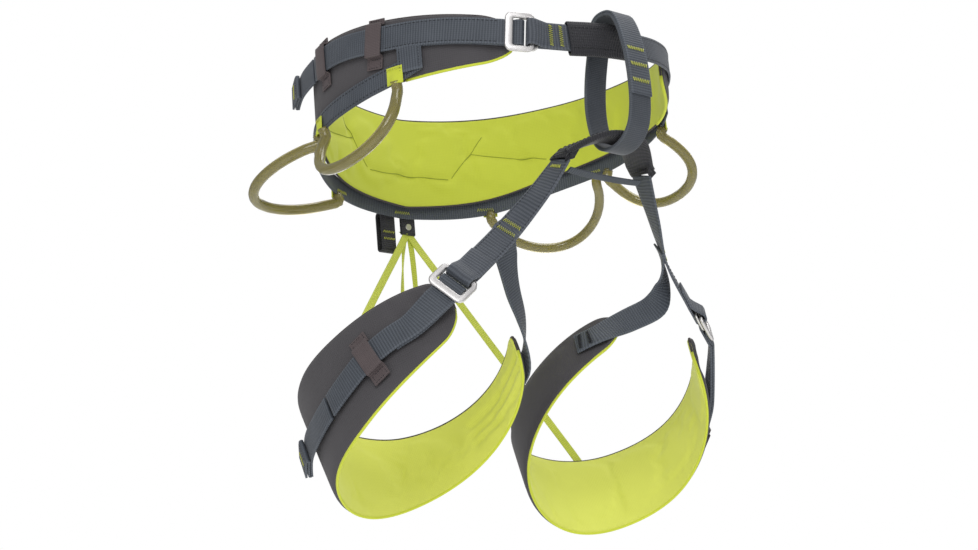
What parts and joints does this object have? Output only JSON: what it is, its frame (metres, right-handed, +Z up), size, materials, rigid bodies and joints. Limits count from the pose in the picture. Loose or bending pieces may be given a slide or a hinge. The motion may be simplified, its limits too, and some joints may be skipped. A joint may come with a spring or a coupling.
{
  "type": "climbing sit harness",
  "caption": "Sit harness with a padded waist belt, slide-block buckles, a belay loop, gear loops and padded adjustable leg loops joined at the front and by elastics behind.",
  "frame": {"origin": "middle of the waist opening, at the height of the front strap's run through the hips", "axes": "+Z up out of the waist opening; the wearer's front faces -Y and the wearer's left is +X"},
  "size_m": [0.365, 0.3086, 0.3864],
  "materials": {
    "webbing": "woven polyamide webbing",
    "pad_cloth": "plain woven outer cloth",
    "foam": "closed-cell foam",
    "lining": "knitted mesh lining",
    "sleeve": "coarse woven abrasion sleeve",
    "keeper_tape": "thin woven tape",
    "loop_tab": "thin woven tape",
    "clear_tube": "translucent extruded tube",
    "loop_cord": "braided cord",
    "alloy": "satin forged",
    "elastic": "flat woven elastic"
  },
  "bodies": {
    "belt": {"waist_pad_shell": "pad_cloth", "waist_pad_foam": "foam", "waist_pad_lining": "lining", "waist_lower_webbing": "webbing", "waist_adjuster_strap": "webbing", "waist_front_strap": "webbing", "waist_buckle_slider": "alloy", "waist_keeper_front": "keeper_tape", "waist_keeper_side": "keeper_tape", "tie_in_sleeve": "sleeve", "leg_bridge_strap": "webbing", "leg_bridge_sleeve": "sleeve", "leg_cross_strap": "webbing", "rear_tab": "sleeve", "rear_tab_rivet": "alloy", "elastic_right": "elastic", "elastic_left": "elastic", "elastic_slack": "elastic", "gear_tab_front_right": "loop_tab", "gear_tab_middle_right": "loop_tab", "gear_tab_rear_right": "loop_tab", "gear_tab_front_left": "loop_tab", "gear_tab_middle_left": "loop_tab", "gear_tab_rear_left": "loop_tab"},
    "belay_loop": {"belay_loop": "webbing"},
    "waist_buckle_frame": {"waist_buckle_frame": "alloy"},
    "waist_strap_tail": {"waist_tail_end": "webbing", "waist_tail_end_stop": "webbing"},
    "haul_loop": {"haul_loop": "sleeve"},
    "gear_loop_front_right": {"gear_loop_front_right_tube": "clear_tube", "gear_loop_front_right_cord": "loop_cord"},
    "gear_loop_rear_right": {"gear_loop_rear_right_tube": "clear_tube", "gear_loop_rear_right_cord": "loop_cord"},
    "leg_loop_right": {"leg_pad_right_shell": "pad_cloth", "leg_pad_right_foam": "foam", "leg_pad_right_lining": "lining", "leg_adjuster_strap_right": "webbing", "leg_riser_right": "webbing", "leg_inner_strap_right": "webbing", "leg_keeper_right": "keeper_tape", "leg_buckle_right_slider": "alloy"},
    "leg_buckle_frame_right": {"leg_buckle_right_frame": "alloy"},
    "leg_strap_tail_right": {"leg_tail_end_right": "webbing", "leg_tail_end_right_stop": "webbing"},
    "gear_loop_front_left": {"gear_loop_front_left_tube": "clear_tube", "gear_loop_front_left_cord": "loop_cord"},
    "gear_loop_rear_left": {"gear_loop_rear_left_tube": "clear_tube", "gear_loop_rear_left_cord": "loop_cord"},
    "leg_loop_left": {"leg_pad_left_shell": "pad_cloth", "leg_pad_left_foam": "foam", "leg_pad_left_lining": "lining", "leg_adjuster_strap_left": "webbing", "leg_riser_left": "webbing", "leg_inner_strap_left": "webbing", "leg_keeper_left": "keeper_tape", "leg_buckle_left_slider": "alloy"},
    "leg_buckle_frame_left": {"leg_buckle_left_frame": "alloy"},
    "leg_strap_tail_left": {"leg_tail_end_left": "webbing", "leg_tail_end_left_stop": "webbing"}
  },
  "joints": [
    {"name": "belay_loop_twist", "type": "hinge", "parent": "belt", "child": "belay_loop", "pos_m": [0, -0.152, 0], "axis": [0, 0, 1], "range_deg": [-3.5, 3.5]},
    {"name": "waist_buckle_tilt", "type": "hinge", "parent": "belt", "child": "waist_buckle_frame", "pos_m": [-0.06539, -0.14071, -0.01018], "axis": [0.0941, -0.0533, 0.9941], "range_deg": [0, 25], "stiffness_Nm_per_rad": 0.05},
    {"name": "waist_tail_lift", "type": "hinge", "parent": "belt", "child": "waist_strap_tail", "pos_m": [-0.14409, 0.02962, 0.01038], "axis": [0.015, 0.0493, 0.9987], "range_deg": [0, 35], "stiffness_Nm_per_rad": 0.02},
    {"name": "haul_loop_swing", "type": "hinge", "parent": "belt", "child": "haul_loop", "pos_m": [-0.016, 0.1264, -0.061], "axis": [1, 0, 0], "range_deg": [0, 75]},
    {"name": "gear_front_right_swing", "type": "hinge", "parent": "belt", "child": "gear_loop_front_right", "pos_m": [-0.13384, -0.0616, -0.0382], "axis": [-0.1327, 0.9839, -0.1196], "range_deg": [-15, 55], "stiffness_Nm_per_rad": 0.15},
    {"name": "gear_front_left_swing", "type": "hinge", "parent": "belt", "child": "gear_loop_front_left", "pos_m": [0.13384, -0.0616, -0.0276], "axis": [-0.1328, -0.9851, 0.1092], "range_deg": [-35, 35], "stiffness_Nm_per_rad": 0.15},
    {"name": "gear_rear_right_swing", "type": "hinge", "parent": "belt", "child": "gear_loop_rear_right", "pos_m": [-0.14175, 0.03045, -0.04895], "axis": [0.6511, 0.7414, -0.1623], "range_deg": [-55, 10], "stiffness_Nm_per_rad": 0.15},
    {"name": "gear_rear_left_swing", "type": "hinge", "parent": "belt", "child": "gear_loop_rear_left", "pos_m": [0.14175, 0.03045, -0.03772], "axis": [0.6449, -0.7343, 0.2117], "range_deg": [-50, 18], "stiffness_Nm_per_rad": 0.15},
    {"name": "leg_right_swing", "type": "hinge", "parent": "belt", "child": "leg_loop_right", "pos_m": [-0.038, -0.129, -0.097], "axis": [-1, 0, 0], "range_deg": [-6, 10], "stiffness_Nm_per_rad": 1.2, "springref_deg": -3.25, "deforming": ["elastic_right"]},
    {"name": "leg_left_swing", "type": "hinge", "parent": "belt", "child": "leg_loop_left", "pos_m": [0.038, -0.129, -0.097], "axis": [-1, 0, 0], "range_deg": [-6, 10], "stiffness_Nm_per_rad": 1.2, "springref_deg": -3.35, "deforming": ["elastic_left"]},
    {"name": "leg_right_buckle_tilt", "type": "hinge", "parent": "leg_loop_right", "child": "leg_buckle_frame_right", "pos_m": [-0.11796, -0.09981, -0.18782], "axis": [-0.5114, 0.5204, 0.6838], "range_deg": [0, 25], "stiffness_Nm_per_rad": 0.05},
    {"name": "leg_left_buckle_tilt", "type": "hinge", "parent": "leg_loop_left", "child": "leg_buckle_frame_left", "pos_m": [0.11357, -0.09856, -0.19106], "axis": [-0.5424, -0.5916, -0.5965], "range_deg": [0, 25], "stiffness_Nm_per_rad": 0.05},
    {"name": "leg_right_tail_lift", "type": "hinge", "parent": "leg_loop_right", "child": "leg_strap_tail_right", "pos_m": [-0.18226, -0.0193, -0.27031], "axis": [0.0529, 0.4971, 0.8661], "range_deg": [0, 35], "stiffness_Nm_per_rad": 0.02},
    {"name": "leg_left_tail_lift", "type": "hinge", "parent": "leg_loop_left", "child": "leg_strap_tail_left", "pos_m": [0.1449, -0.015, -0.30241], "axis": [-0.2989, -0.5457, -0.7828], "range_deg": [0, 35], "stiffness_Nm_per_rad": 0.02}
  ]
}
